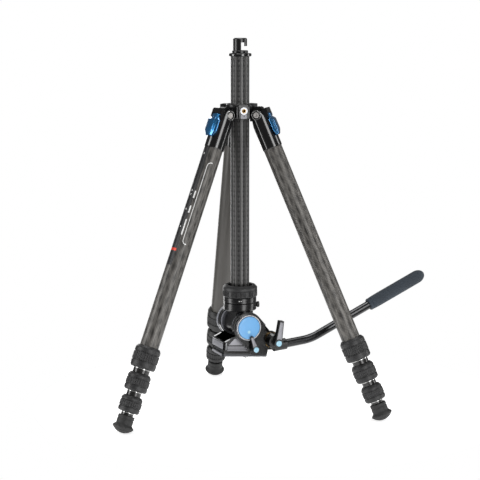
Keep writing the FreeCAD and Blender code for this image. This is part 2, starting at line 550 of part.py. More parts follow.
bend_middle, bend_end = on_bend((first + last) / 2), on_bend(last)
rod_end = bend_end + along * ROD_STRAIGHT
circle = Part.Wire(Part.makeCircle(ROD_RADIUS, bend_start, first_along))
bend = Part.Wire(Part.Arc(bend_start, bend_middle, bend_end).toShape()).makePipeShell([circle], True, True)
straight = Part.makeCylinder(ROD_RADIUS, ROD_STRAIGHT + 55, bend_end, along)
head["handle_rod"] = joined([rod(ROD_RADIUS, 0, ROD_FIRST_LENGTH, first_along, rod_start), bend, straight])

grip_profile = [(ROD_RADIUS + 0.03, 0), (8.4, 0), (9.3, 1.2), (9.3, 6), (GRIP_RADIUS, 14), (GRIP_RADIUS, 90)]
grip_profile += [(GRIP_RADIUS * cos(radians(a)), 90 + (GRIP_LENGTH - 90) * sin(radians(a)))
                 for a in range(10, 90, 10)]
grip_profile += [(0, GRIP_LENGTH), (0, 55.3), (ROD_RADIUS + 0.03, 55.3)]
grip = turned(grip_profile)
grip.Placement = FreeCAD.Placement(rod_end, FreeCAD.Rotation(Z, along))
head["handle_grip"] = grip

handle_lever = lever(ROSETTE_X, ROSETTE_Z, 6.5, SOCKET_FRONT + 0.4, 57.0, 34.0, 81.3, 3.5, 9.4)
handle_lever = handle_lever.fuse(rod(2.1, 41, SOCKET_FRONT + 1, Y * -1, rosette_at))
head["handle_lever"] = handle_lever.removeSplitter()
head["handle_lever_cap"] = rod(4.4, 57.02, 58.6, Y * -1, rosette_at)

for name, shape in head.items():
    parts[name] = turn(shape, HEAD_AZIMUTH)

# ---------------------------------------------------------------- write
for name, shape in parts.items():
    moved = shape.copy()
    moved.translate(FRAME_SHIFT)
    moved.exportStep("parts/%s.step" % name)
    assert moved.isValid(), name
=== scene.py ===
import json
import math

import bmesh
import bpy
from mathutils import Matrix, Vector


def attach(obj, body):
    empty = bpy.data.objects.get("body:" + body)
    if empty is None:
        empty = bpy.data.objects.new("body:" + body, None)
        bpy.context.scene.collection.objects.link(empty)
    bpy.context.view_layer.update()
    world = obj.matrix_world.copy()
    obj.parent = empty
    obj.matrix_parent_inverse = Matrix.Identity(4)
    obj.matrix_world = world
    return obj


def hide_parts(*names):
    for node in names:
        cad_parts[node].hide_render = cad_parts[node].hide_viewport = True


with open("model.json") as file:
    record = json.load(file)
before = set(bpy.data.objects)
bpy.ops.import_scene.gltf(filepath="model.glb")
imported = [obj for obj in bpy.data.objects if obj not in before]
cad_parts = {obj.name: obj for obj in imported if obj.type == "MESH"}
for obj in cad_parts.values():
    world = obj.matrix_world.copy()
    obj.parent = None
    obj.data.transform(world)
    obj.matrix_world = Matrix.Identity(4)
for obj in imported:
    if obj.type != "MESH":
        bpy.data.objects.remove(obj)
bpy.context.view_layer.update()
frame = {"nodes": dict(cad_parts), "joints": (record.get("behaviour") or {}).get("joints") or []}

MM = 0.001
nodes = frame["nodes"]
joints = {j["name"]: j for j in frame["joints"]}
LEGS = ("left", "right", "rear")
SIDES = ((-1, "a"), (1, "b"))
Z = Vector((0, 0, 1))

# ---------------------------------------------------------------- frames of the legs and the head


def axes_matrix(x, y, z, origin):
    """A matrix that carries millimetres in a local frame to metres in the row frame."""
    m = Matrix.Identity(4)
    for i, axis in enumerate((x, y, z)):
        m.col[i] = (*(Vector(axis) * MM), 0)
    m.col[3] = (*origin, 1)
    return m


leg_frame = {}
for leg in LEGS:
    hinge = joints[leg + "_leg_hinge"]
    across = Vector(hinge["axis"])
    down = Vector(joints[leg + "_section_2_slide"]["axis"])
    leg_frame[leg] = axes_matrix(across.cross(down), across, down, hinge["pos_m"])

tilt = joints["tilt_turn"]
column_at = Vector(joints["column_collar_twist"]["pos_m"])
TILT_Z = 131.3  # height of the tilt axis in the head's own frame
base = Vector((column_at.x, column_at.y, tilt["pos_m"][2] - TILT_Z * MM))
front = Vector(tilt["axis"])
head_frame = axes_matrix((-front).cross(Z), -front, Z, base)
column_frame = axes_matrix((1, 0, 0), (0, 1, 0), Z, base)
# The clamp and plate lean about the tilt axis
lean_x = Vector(joints["plate_slide"]["axis"])
lean_z = lean_x.cross(-front)
lean_frame = axes_matrix(lean_x, -front, lean_z, Vector(tilt["pos_m"]) - lean_z * TILT_Z * MM)
SOCKET_AZIMUTH = math.radians(-79.15)  # the way the accessory socket faces

# ---------------------------------------------------------------- materials


class Nodes:
    """Short-hand for building a node tree."""

    def __init__(self, name):
        self.material = bpy.data.materials.new(name)
        self.material.use_nodes = True
        self.tree = self.material.node_tree
        self.shader = self.tree.nodes["Principled BSDF"]

    def node(self, kind, **values):
        n = self.tree.nodes.new(kind)
        for key, value in values.items():
            setattr(n, key, value)
        return n

    def link(self, a, b):
        self.tree.links.new(a, b)

    def math(self, operation, a, b=None, c=None):
        n = self.node("ShaderNodeMath", operation=operation)
        for i, value in enumerate((a, b, c)):
            if value is None:
                continue
            if isinstance(value, (int, float)):
                n.inputs[i].default_value = value
            else:
                self.link(value, n.inputs[i])
        return n.outputs[0]

    def add(self, a, b):
        return self.math("ADD", a, b)

    def sub(self, a, b):
        return self.math("SUBTRACT", a, b)

    def mul(self, a, b):
        return self.math("MULTIPLY", a, b)

    def ramp(self, value, stops):
        n = self.node("ShaderNodeValToRGB")
        elements = n.color_ramp.elements
        while len(elements) < len(stops):
            elements.new(0.5)
        for element, (position, color) in zip(elements, stops):
            element.position = position
            element.color = (*color, 1)
        self.link(value, n.inputs[0])
        return n.outputs[0]

    def mix(self, factor, a, b):
        n = self.node("ShaderNodeMix", data_type="RGBA")
        for socket, value in ((n.inputs[0], factor), (n.inputs[6], a), (n.inputs[7], b)):
            if isinstance(value, (int, float)):
                socket.default_value = value
            elif isinstance(value, tuple):
                socket.default_value = (*value, 1)
            else:
                self.link(value, socket)
        return n.outputs[2]

    def noise(self, scale, detail=3.0, rough=0.55, vector=None):
        n = self.node("ShaderNodeTexNoise")
        n.inputs["Scale"].default_value = scale
        n.inputs["Detail"].default_value = detail
        n.inputs["Roughness"].default_value = rough
        if vector is None:
            vector = self.node("ShaderNodeTexCoord").outputs["Object"]
        self.link(vector, n.inputs["Vector"])
        return n.outputs[0]

    def scaled(self, vector, scale):
        n = self.node("ShaderNodeMapping")
        n.inputs["Scale"].default_value = scale
        self.link(vector, n.inputs["Vector"])
        return n.outputs[0]

    def bump(self, height, strength, distance=0.001):
        n = self.node("ShaderNodeBump")
        n.inputs["Strength"].default_value = strength
        n.inputs["Distance"].default_value = distance
        self.link(height, n.inputs["Height"])
        self.link(n.outputs[0], self.shader.inputs["Normal"])

    def set(self, **values):
        names = {"color": "Base Color", "rough": "Roughness", "metal": "Metallic",
                 "spec": "Specular IOR Level", "coat": "Coat Weight", "coat_rough": "Coat Roughness",
                 "sheen": "Sheen Weight", "sheen_rough": "Sheen Roughness"}
        for key, value in values.items():
            socket = self.shader.inputs[names[key]]
            if isinstance(value, (int, float)):
                socket.default_value = value
            elif isinstance(value, tuple):
                socket.default_value = (*value, 1)
            else:
                self.link(value, socket)
        return self


METAL_GRAIN = 2600.0  # noise cells per metre
TOW_PITCH = 1.3  # width of one carbon tow in mm


def shade(color, factor):
    """The colour made darker or lighter."""
    return tuple(min(1.0, c * factor) for c in color)


def metal(name, color, rough, metallic, coat=0.0, wear=0.12, brushed=None, bump=0.02, spec=0.5):
    """Anodised or turned metal: slight cloudy tone, fine grain, uneven gloss."""
    n = Nodes(name)
    cloud = n.noise(55.0, 4.0)
    tone = n.ramp(cloud, [(0.3, shade(color, 1 - wear)), (0.7, shade(color, 1 + wear))])
    if brushed:
        source = n.scaled(n.node("ShaderNodeTexCoord").outputs["Object"], brushed)
        fine = n.noise(1.0, 2.0, 0.6, source)
    else:
        fine = n.noise(METAL_GRAIN, 2.0)
    smudge = n.noise(140.0, 3.0)
    gloss = n.math("MULTIPLY_ADD", smudge, rough * 0.5, rough * 0.75)
    n.set(color=tone, rough=gloss, metal=metallic, coat=coat, coat_rough=0.08, spec=spec)
    n.bump(fine, bump, 0.0002)
    return n.material


def rubber(name, color, rough, grain=1500.0, bump=0.35, sheen=0.0):
    """Moulded rubber: matt with fine grain and a dusty lift on the high spots."""
    n = Nodes(name)
    cloud = n.noise(38.0, 5.0)
    fine = n.noise(grain, 3.0)
    tone = n.ramp(cloud, [(0.3, shade(color, 0.8)), (0.72, shade(color, 1.25))])
    tone = n.mix(n.mul(fine, 0.22), tone, shade(color, 2.0))
    n.set(color=tone, rough=n.math("MULTIPLY_ADD", cloud, 0.2, rough - 0.1), sheen=sheen, sheen_rough=0.5)
    n.bump(fine, bump, 0.0003)
    return n.material


def carbon(name, low, high, rough, metallic, streaks=(260.0, 7.0), weave=0.16, braid=0.0, decal=None,
           spec=0.5, coat=0.15):
    """Carbon tube: lengthwise fibre tone, a faint twill and a slanting braid.

    The UV is in mm, u round the tube and v along it. decal(n, u, v, color) may print on the colour."""
    n = Nodes(name)
    uv = n.node("ShaderNodeUVMap", uv_map="tube").outputs[0]
    split = n.node("ShaderNodeSeparateXYZ")
    n.link(uv, split.inputs[0])
    u, v = split.outputs[0], split.outputs[1]
    a, b = n.math("DIVIDE", u, TOW_PITCH), n.math("DIVIDE", v, TOW_PITCH)
    step = n.math("FLOORED_MODULO", n.add(n.math("FLOOR", a), n.math("FLOOR", b)), 4.0)
    over = n.math("LESS_THAN", step, 1.5)
    arch_u = n.math("SINE", n.mul(n.math("FRACT", a), math.pi))
    arch_v = n.math("SINE", n.mul(n.math("FRACT", b), math.pi))
    height = n.add(n.mul(over, arch_u), n.mul(n.sub(1.0, over), arch_v))
    long_noise = n.noise(1.0, 4.0, 0.6, n.scaled(uv, (streaks[0] * MM, streaks[1] * MM, 1)))
    fibre = n.noise(1.0, 3.0, 0.6, n.scaled(uv, (2.4, 0.12, 1)))
    streak = n.add(n.mul(long_noise, 0.75), n.mul(fibre, 0.25))
    if braid:
        # Bands of tow cross the tube at two steep angles
        drift = n.mul(n.noise(1.0, 2.0, 0.5, n.scaled(uv, (0.05, 0.02, 1))), 9.0)
        bands = []
        for run in (34.0, -34.0):
            phase = n.add(n.math("DIVIDE", u, 11.0), n.math("DIVIDE", v, run))
            bands.append(n.math("SINE", n.math("MULTIPLY_ADD", phase, 2 * math.pi, drift)))
        cross = n.math("MAXIMUM", bands[0], bands[1])
        streak = n.add(streak, n.mul(n.sub(cross, 0.5), braid))
    middle = tuple((p + q) / 2 for p, q in zip(low, high))
    tone = n.ramp(streak, [(0.30, low), (0.50, middle), (0.70, high)])
    tow = n.ramp(over, [(0.0, (1 - weave,) * 3), (1.0, (1.0,) * 3)])
    mixed = n.node("ShaderNodeMix", data_type="RGBA", blend_type="MULTIPLY")
    mixed.inputs[0].default_value = 1.0
    n.link(tone, mixed.inputs[6])
    n.link(tow, mixed.inputs[7])
    color = mixed.outputs[2]
    gloss = n.math("MULTIPLY_ADD", streak, 0.2, rough - 0.1)
    if decal:
        color = decal(n, u, v, color)
    n.set(color=color, rough=gloss, metal=metallic, spec=spec, coat=coat, coat_rough=0.2)
    n.bump(height, 0.06, 0.0002)
    return n.material


def between(n, value, low, high):
    """1 where the value is between low and high."""
    return n.mul(n.math("GREATER_THAN", value, low), n.math("LESS_THAN", value, high))


def leg_marks(n, u, v, color):
    """Plain printed marks on one leg: a dark strip, a thin bracket line, dashes, ticks and a red band."""
    turn = 88.0  # a little over once round the top tube
    round_tube = n.sub(n.math("FLOORED_MODULO", n.add(u, turn / 2), turn), turn / 2)
    w = n.sub(9.5, round_tube)  # runs round the tube from the strip's outer edge

    def rect(w0, w1, v0, v1):
        return n.mul(between(n, w, w0, w1), between(n, v, v0, v1))

    def either(*masks):
        out = masks[0]
        for mask in masks[1:]:
            out = n.math("MAXIMUM", out, mask)
        return out

    def rounded(cw, cv, half_w, half_v, radius):
        """Signed distance to a rectangle with round corners."""
        dw = n.math("MAXIMUM", n.sub(n.math("ABSOLUTE", n.sub(w, cw)), half_w - radius), 0.0)
        dv = n.math("MAXIMUM", n.sub(n.math("ABSOLUTE", n.sub(v, cv)), half_v - radius), 0.0)
        length = n.math("SQRT", n.add(n.mul(dw, dw), n.mul(dv, dv)))
        return n.sub(length, radius)

    strip = (-4.0, 15.2)
    white, red, black = (0.80, 0.80, 0.79), (0.60, 0.045, 0.02), (0.012, 0.012, 0.013)
    color = n.mix(rect(*strip, 50, 238), color, black)
    line = rounded(30.2, 140.0, 10.0, 63.5, 6.0)
    bracket = n.mul(between(n, line, -0.85, 0.25), n.math("LESS_THAN", w, 27.0))
    dashes = [rect(14.6, 16.8, v0, v1) for v0, v1 in ((123.0, 134.0), (146.0, 157.0), (167.0, 191.0))]
    ticks = [rect(7.4, 9.6, v0, v0 + 2.0) for v0 in (64.0, 122.0, 128.0, 151.0, 178.0)]
    color = n.mix(either(bracket, *dashes, *ticks), color, white)
    return n.mix(rect(*strip, 212.0, 216.0), color, red)


def column_lines(n, u, v, color):
    """Wavy dark lines run down the column and fade a little once in each wave."""
    spacing, wavelength = 7.33, 7.5
    place = n.math("FLOORED_MODULO", n.add(u, 20.26), spacing)
    off = n.math("ABSOLUTE", n.sub(place, spacing / 2))
    wave = n.mul(n.math("SINE", n.mul(v, 2 * math.pi / wavelength)), 0.7)
    line = n.math("LESS_THAN", n.math("ABSOLUTE", n.add(off, wave)), 1.0)
    beat = n.math("LESS_THAN", n.math("FLOORED_MODULO", v, wavelength), 6.0)
    return n.mix(n.mul(line, n.math("MULTIPLY_ADD", beat, 0.4, 0.6)), color, (0.004, 0.004, 0.004))


WARM_LOW, WARM_HIGH = (0.026, 0.0245, 0.0225), (0.18, 0.17, 0.157)
M = {
    "carbon_right": carbon("carbon_right", WARM_LOW, WARM_HIGH, 0.44, 0.3, braid=0.10, coat=0.0),
    "carbon_left": carbon("carbon_left", WARM_LOW, WARM_HIGH, 0.44, 0.3, braid=0.10, coat=0.0,
                          decal=leg_marks),
    # The rear leg's top tube is the same carbon as the other two; this darker, duller copy is painted shade
    "carbon_rear": carbon("carbon_rear", (0.040, 0.037, 0.033), (0.075, 0.070, 0.063), 0.55, 0.1, braid=0.02),
    "carbon_lower": carbon("carbon_lower", (0.01, 0.01, 0.01), (0.03, 0.029, 0.028), 0.22, 0.2),
    "carbon_column": carbon("carbon_column", (0.024, 0.024, 0.024), (0.10, 0.098, 0.096), 0.36, 0.2,
                            streaks=(300.0, 4.0), weave=0.1, decal=column_lines, spec=0.35),
    "black_gloss": metal("black_gloss", (0.003, 0.003, 0.0033), 0.17, 0.0, coat=0.55, wear=0.3, bump=0.006),
    "black_soft": metal("black_soft_gloss", (0.004, 0.004, 0.0045), 0.30, 0.0, coat=0.15, wear=0.3,
                        bump=0.01, spec=0.4),
    "black_satin": metal("black_satin", (0.004, 0.004, 0.0045), 0.30, 0.0, wear=0.3, bump=0.02),
    "blue": metal("blue_anodised", (0.016, 0.17, 0.40), 0.20, 0.8, coat=1.0, wear=0.1, bump=0.004),
    "sky": metal("sky_blue", (0.120, 0.36, 0.68), 0.38, 0.0, coat=0.1, wear=0.03),
    "sky_pale": metal("sky_blue_pale", (0.33, 0.58, 0.72), 0.34, 0.0, coat=0.2, wear=0.04),
    "steel": metal("bright_steel", (0.62, 0.62, 0.61), 0.24, 0.8, wear=0.05),
    "bolt": metal("bolt_steel", (0.62, 0.60, 0.58), 0.24, 0.35, wear=0.2),
    "silver": metal("silver_ring", (0.34, 0.345, 0.36), 0.28, 0.6, wear=0.06, brushed=(900, 900, 60)),
    "grey": metal("grey_metal", (0.22, 0.225, 0.25), 0.36, 0.2, wear=0.08),
    "plate_grey": metal("plate_grey", (0.030, 0.032, 0.036), 0.30, 0.3, coat=0.3, wear=0.1),
    "lever_grey": metal("lever_grey", (0.23, 0.23, 0.25), 0.42, 0.2, wear=0.08),
    "rod": metal("dark_satin_rod", (0.020, 0.0205, 0.022), 0.20, 0.5, coat=0.3, wear=0.12),
    "brass": metal("bronze_ring", (0.30, 0.19, 0.07), 0.32, 1.0, wear=0.1),
    "plastic": rubber("black_plastic", (0.006, 0.006, 0.006), 0.45, 2200.0, 0.1),
    "rubber": rubber("charcoal_rubber", (0.011, 0.011, 0.0115), 0.5),
    "foot": rubber("foot_rubber", (0.010, 0.010, 0.010), 0.6, 900.0, 0.4),
    "foam": rubber("slate_foam", (0.022, 0.031, 0.042), 0.8, 2600.0, 0.7, 0.05),
}

# ---------------------------------------------------------------- mesh building


def finish_object(name, bm, material, body, replaced, matrix, smooth=40.0):
    """Turns a bmesh in millimetres into a piece that rides on a body.

    Edges that turn by more than smooth degrees stay sharp."""
    mesh = bpy.data.meshes.new(name)
    bmesh.ops.transform(bm, matrix=matrix, verts=bm.verts)
    bmesh.ops.recalc_face_normals(bm, faces=bm.faces)
    limit = math.radians(smooth)
    for face in bm.faces:
        face.smooth = True
    for edge in bm.edges:
        if len(edge.link_faces) == 2 and edge.calc_face_angle(0.0) > limit:
            edge.smooth = False
    bm.to_mesh(mesh)
    bm.free()
    obj = bpy.data.objects.new(name, mesh)
    bpy.context.scene.collection.objects.link(obj)
    mesh.materials.append(material)
    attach(obj, body)
    if replaced:
        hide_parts(*replaced)
    return obj


def fillet(profile, radius, steps=3):
    """Rounds the corners of a closed outline of 2-D points.

    A point may carry its own radius as a third number. Corners that are nearly straight stay as they are."""
    out = []
    count = len(profile)
    for i, point in enumerate(profile):
        r = point[2] if len(point) > 2 else radius
        p = Vector(point[:2])
        a, b = Vector(profile[i - 1][:2]), Vector(profile[(i + 1) % count][:2])
        da, db = a - p, b - p
        if r <= 0 or da.length < 1e-6 or db.length < 1e-6:
            out.append(p)
            continue
        angle = da.angle(db)
        if angle > math.radians(172) or angle < math.radians(4):
            out.append(p)
            continue
        cut = min(r / math.tan(angle / 2), da.length * 0.45, db.length * 0.45)
        start, end = p + da.normalized() * cut, p + db.normalized() * cut
        for s in range(steps + 1):
            t = s / steps
            out.append(start * (1 - t) ** 2 + p * 2 * t * (1 - t) + end * t ** 2)
    return out


def lathe(profile, segments=96, shape=None):
    """A solid of revolution about local Z, in millimetres. shape(radius, z, angle) may change each radius."""
    bm = bmesh.new()
    uv = bm.loops.layers.uv.new("tube")
    rings = []
    for r, z in profile:
        if r < 1e-6:
            rings.append([bm.verts.new((0, 0, z))])
            continue
        ring = []
        for i in range(segments):
            angle = 2 * math.pi * i / segments
            radius = shape(r, z, angle) if shape else r
            ring.append(bm.verts.new((radius * math.cos(angle), radius * math.sin(angle), z)))
        rings.append(ring)
    ring_pairs = zip(rings, rings[1:] + rings[:1])
    point_pairs = zip(profile, profile[1:] + profile[:1])
    for (lower, upper), (p, q) in zip(ring_pairs, point_pairs):
        for i in range(segments):
            j = (i + 1) % segments
            if len(lower) == 1 and len(upper) == 1:
                continue
            if len(lower) == 1:
                face = bm.faces.new((lower[0], upper[j], upper[i]))
                corners = ((i, p), (i + 1, q), (i, q))
            elif len(upper) == 1:
                face = bm.faces.new((lower[i], lower[j], upper[0]))
                corners = ((i, p), (i + 1, p), (i, q))
            else:
                face = bm.faces.new((lower[i], lower[j], upper[j], upper[i]))
                corners = ((i, p), (i + 1, p), (i + 1, q), (i, q))
            for loop, (k, point) in zip(face.loops, corners):
                loop[uv].uv = (2 * math.pi * max(p[0], q[0]) * k / segments, point[1])
    return bm


def prism(outline, low, high, bevel, plane="xz"):
    """A flat piece with rounded edges.

    outline is in the plane that is named, and low and high are along the third axis."""
    bm = bmesh.new()
    place = {
        "xz": lambda p, t: (p[0], t, p[1]),
        "xy": lambda p, t: (p[0], p[1], t),
        "yz": lambda p, t: (t, p[0], p[1]),
    }[plane]
    verts = [bm.verts.new(place(p, low)) for p in outline]
    face = bm.faces.new(verts)
    grown = bmesh.ops.extrude_face_region(bm, geom=[face])
    moved = [v for v in grown["geom"] if isinstance(v, bmesh.types.BMVert)]
    axis = {"xz": Vector((0, 1, 0)), "xy": Z, "yz": Vector((1, 0, 0))}[plane]
    bmesh.ops.translate(bm, verts=moved, vec=axis * (high - low))
    bmesh.ops.recalc_face_normals(bm, faces=bm.faces)
    edges = [e for e in bm.edges if len(e.link_faces) == 2 and e.calc_face_angle(0) > math.radians(25)]
    bmesh.ops.bevel(bm, geom=edges, offset=bevel, segments=2, profile=0.6, affect="EDGES", clamp_overlap=True)
    return bm


def box(a, b, low, high, bevel, plane="xz"):
    """A prism on the rectangle from corner a to corner b."""
    return prism([a, (b[0], a[1]), b, (a[0], b[1])], low, high, bevel, plane)


def merged(*parts):
    """Several bmeshes as one."""
    target = parts[0]
    for part in parts[1:]:
        mesh = bpy.data.meshes.new("tmp")
        part.to_mesh(mesh)
        part.free()
        target.from_mesh(mesh)
        bpy.data.meshes.remove(mesh)
    return target


def turned_to(bm, axis, origin):
    """Turns a bmesh made about Z so that its Z runs along axis from origin."""
    quat = Z.rotation_difference(Vector(axis))
    matrix = Matrix.Translation(Vector(origin)) @ quat.to_matrix().to_4x4()
    bmesh.ops.transform(bm, matrix=matrix, verts=bm.verts)
    return bm


def ribbed(low, high, inner, count, depth):
    """A radius change that cuts grooves along Z between two heights, outside the inner radius."""

    def shape(r, z, angle):
        if low <= z <= high and r >= inner:
            wave = math.cos(count * angle)
            return r - depth * (0.5 - 0.5 * max(-1.0, min(1.0, wave * 2.2)))
        return r

    return shape


def keep_cad(name, material, bevel):
    """Shows a CAD node itself, with softened edges."""
    obj = nodes[name]
    if obj.data.materials:
        for i in range(len(obj.data.materials)):
            obj.data.materials[i] = material
    else:
        obj.data.materials.append(material)
    if bevel:
        weld = obj.modifiers.new("weld", "WELD")
        weld.merge_threshold = 2e-6
        mod = obj.modifiers.new("edge", "BEVEL")
        mod.width = bevel * MM
        mod.segments = 2
        mod.limit_method = "ANGLE"
        mod.angle_limit = math.radians(35)
        mod.use_clamp_overlap = True
        even = obj.modifiers.new("even", "WEIGHTED_NORMAL")
        even.keep_sharp = True


# ---------------------------------------------------------------- legs
TUBE_RADII = (14.0, 12.4, 10.8, 9.2)
TUBE_SPANS = ((26.3, 386.0), (60.0, 421.0), (70.0, 453.5), (80.0, 478.0))
LOCKS = ((19.25, 361.0, 393.9), (17.5, 401.4, 428.3), (16.25, 435.9, 460.3))
LOCK_STEPS = (386.5, 421.5, 454.0)
TUBE_WALL = 1.3
RIM = 0.3  # radial gap between a lock and the tubes in it


def tube_mesh(i):
    """One leg tube with its wall."""
    outer, (start, end) = TUBE_RADII[i], TUBE_SPANS[i]
    inner = outer - TUBE_WALL
    return lathe(fillet([(inner, start), (outer, start), (outer, end), (inner, end)], 0.25), 96)


def lock_mesh(i):
    """Rubber sleeve of a twist lock: plain shoulders and a finely ribbed middle band between two grooves."""
    radius, start, end = LOCKS[i]
    upper, lower, step = TUBE_RADII[i] + RIM, TUBE_RADII[i + 1] + RIM, LOCK_STEPS[i]
    third = (end - start) / 3
    g0, g1 = start + third * 0.92, end - third * 0.92
    profile = [(upper, start), (radius - 3.2, start, 0.6), (radius - 0.5, start + 3.8, 1.0),
               (radius - 0.2, g0 - 0.9, 0.3), (radius - 1.1, g0 - 0.5, 0.2), (radius - 1.1, g0 + 0.4, 0.2),
               (radius, g0 + 0.8, 0.3)]
    rows = 5
    profile += [(radius, g0 + 0.8 + (g1 - g0 - 1.6) * (k + 1) / (rows + 1), 0) for k in range(rows)]
    profile += [(radius, g1 - 0.8, 0.3), (radius - 1.1, g1 - 0.4, 0.2), (radius - 1.1, g1 + 0.5, 0.2),
                (radius - 0.2, g1 + 0.9, 0.3), (radius - 0.4, end - 2.2, 0.8), (radius - 2.4, end, 0.5),
                (lower, end), (lower, step, 0.1), (upper, step, 0.1)]
    count = 36 - 3 * i
    return lathe(fillet(profile, 0.25), count * 10, ribbed(g0 + 0.9, g1 - 0.9, radius - 0.3, count, 0.85))


def foot_mesh():
    """Rubber foot: straight neck, flared flange and a domed sole with two grooves."""
    dome, tip, bore = 19.8, 491.5, 9.25
    centre = tip - dome

    def at(r, sink=0.0):
        """A point of the domed sole, or of the bottom of a groove in it."""
        return (r, centre + math.sqrt((dome - sink) ** 2 - r * r), 0.15)

    profile = [(bore, 465.2), (11.4, 465.2, 0.4), (12.2, 466.2, 0.4), (12.2, 470.0, 0.2), (11.7, 470.4, 0.2),
               (11.7, 471.2, 0.2), (12.2, 471.6, 0.2), (12.2, 475.0, 0.8), (12.0, 478.2, 1.0),
               (14.6, 481.0, 0.6), (15.75, 482.0, 0.4), at(15.75), at(12.6), at(12.3, 0.6), at(11.6, 0.6),
               at(11.3), at(7.8), at(7.5, 0.6), at(6.8, 0.6), at(6.5), at(3.2), (0, tip, 0), (0, 478.3, 0),
               (bore, 478.3, 0.1)]

    def flutes(r, z, angle):
        """Shallow flutes round the flange."""
        return r - 0.35 * (0.5 + 0.5 * math.cos(24 * angle)) if 479.0 < z < 484.0 and r > 13.0 else r

    return lathe(fillet(profile, 0.2), 144, flutes)


def stop_mesh():
    """Angle stop: a pull tab with a narrow neck, slanting sides, a middle facet and a chamfered end."""
    neck_floor, tab_floor, neck_end = 12.95, 15.55, 9
    # Distance down the leg, half width and height of each section
    stations = [(3.1, 7.9, 16.6), (3.9, 8.0, 17.15), (8.7, 8.0, 17.2), (10.2, 9.4, 18.0), (13.0, 12.6, 19.8),
                (14.4, 12.75, 20.1), (29.5, 12.75, 20.1), (31.2, 12.5, 19.9), (37.2, 8.2, 18.6),
                (38.3, 7.3, 17.2)]
    bm = bmesh.new()
    rows = []
    for t, half, top in stations:
        low = neck_floor if t < neck_end else tab_floor
        side = low + (top - low) * (0.75 if t < neck_end else 0.42)
        facet = half * 0.36
        shoulder = half * 0.80
        section = [(low, -half + 0.3), (side, -half), (top - 0.75, -shoulder), (top - 0.3, -facet - 0.5),
                   (top, -facet), (top + 0.08, 0), (top, facet), (top - 0.3, facet + 0.5),
                   (top - 0.75, shoulder), (side, half), (low, half - 0.3)]
        rows.append([bm.verts.new((x, y, t)) for x, y in section])
    for a, b in zip(rows, rows[1:]):
        for i in range(len(a)):
            j = (i + 1) % len(a)
            bm.faces.new((a[i], a[j], b[j], b[i]))
    bm.faces.new(rows[0])
    bm.faces.new(rows[-1])
    bmesh.ops.recalc_face_normals(bm, faces=bm.faces)
    edges = [e for e in bm.edges if e.calc_face_angle(0) > math.radians(24)]
    bmesh.ops.bevel(bm, geom=edges, offset=0.35, segments=2, profile=0.7, affect="EDGES", clamp_overlap=True)
    stem = lathe(fillet([(0, 0), (2.3, 0), (2.3, 6.6), (0, 6.6)], 0.3), 32)
    return merged(bm, turned_to(stem, (1, 0, 0), (9.2, 0, 21.8)))


for leg in LEGS:
    m = leg_frame[leg]
    keep_cad(leg + "_leg_yoke", M["black_gloss"], 0.7)
    finish_object(leg + "_pull_stop", stop_mesh(), M["blue"], leg + "_stop",
                  [leg + "_angle_stop"], m, 30)
    bodies = (leg + "_leg", leg + "_section_2", leg + "_section_3", leg + "_section_4")
    for i in range(4):
        material = M["carbon_" + leg] if i == 0 else M["carbon_lower"]
        finish_object("%s_tube_%d" % (leg, i + 1), tube_mesh(i), material, bodies[i],
                      ["%s_leg_tube_%d" % (leg, i + 1)], m)
    for i in range(3):
        finish_object("%s_lock_%d" % (leg, i + 1), lock_mesh(i), M["rubber"], "%s_lock_%d" % (leg, i + 1),
                      ["%s_twist_lock_%d" % (leg, i + 1)], m)
        # Thin bright steel band where each tube leaves its lock: partly a printed mark, partly a painted
        # highlight
        start, end = LOCKS[i][2] + 0.5, LOCKS[i][2] + 1.3
        inner, outer = TUBE_RADII[i + 1] + 0.02, TUBE_RADII[i + 1] + 0.1
        ring = lathe(fillet([(inner, start), (outer, start), (outer, end), (inner, end)], 0.02), 72)
        finish_object("%s_tube_mark_%d" % (leg, i + 1), ring, M["steel"], bodies[i + 1], (), m)
    finish_object(leg + "_rubber_foot", foot_mesh(), M["foot"], leg + "_section_4",
                  [leg + "_foot"], m)
    for side, tag in SIDES:
        # Polished steel chamfer round the hinge bolt on the outside of each ear, partly a real bright edge
        # and partly a painted highlight for the shine on the ear's rounded rim
        profile = [(6.3, 13.6), (7.25, 13.6), (7.25, 14.0), (6.95, 14.4), (6.5, 14.4), (6.3, 14.1)]
        ring = turned_to(lathe(fillet(profile, 0.12), 64), (0, side, 0), (0, 0, 0))
        finish_object("%s_ear_ring_with_highlight_%s" % (leg, tag), ring, M["steel"], leg + "_leg", (), m)

# ---------------------------------------------------------------- hub
keep_cad("spider", M["black_satin"], 0.6)
keep_cad("leg_hinge_bolts", M["bolt"], 0.2)
keep_cad("accessory_socket", M["silver"], 0.25)
keep_cad("bush_key_screw", M["lever_grey"], 0.25)
# Brass thread inside the accessory socket
THREAD_PITCH, THREAD_ROOT, THREAD_CREST = 1.27, 3.1, 2.65
thread = [(0, 22.25), (THREAD_ROOT, 22.25)]
for k in range(7):
    shift = THREAD_PITCH * k
    thread += [(THREAD_ROOT, 22.6 + shift), (THREAD_CREST, 23.1 + shift), (THREAD_CREST, 23.3 + shift)]
thread += [(THREAD_ROOT, 31.0), (2.5, 31.05), (2.3, 30.4), (2.3, 22.9), (0, 22.9)]
socket_axis = (math.cos(SOCKET_AZIMUTH), math.sin(SOCKET_AZIMUTH), 0)
thread_mesh = turned_to(lathe(thread, 48), socket_axis, (0, 0, 457.0))
finish_object("socket_thread", thread_mesh, M["brass"], "hub", (), column_frame)
keep_cad("column_bush", M["plastic"], 0.2)

# ---------------------------------------------------------------- column
COLUMN_RADIUS, COLUMN_BORE = 14.0, 12.3
FLUTES, FLUTE_PHASE = 12, math.radians(-68.0)
FLUTE_DEPTH, FLUTE_HALF_WIDTH = 0.62, 0.95


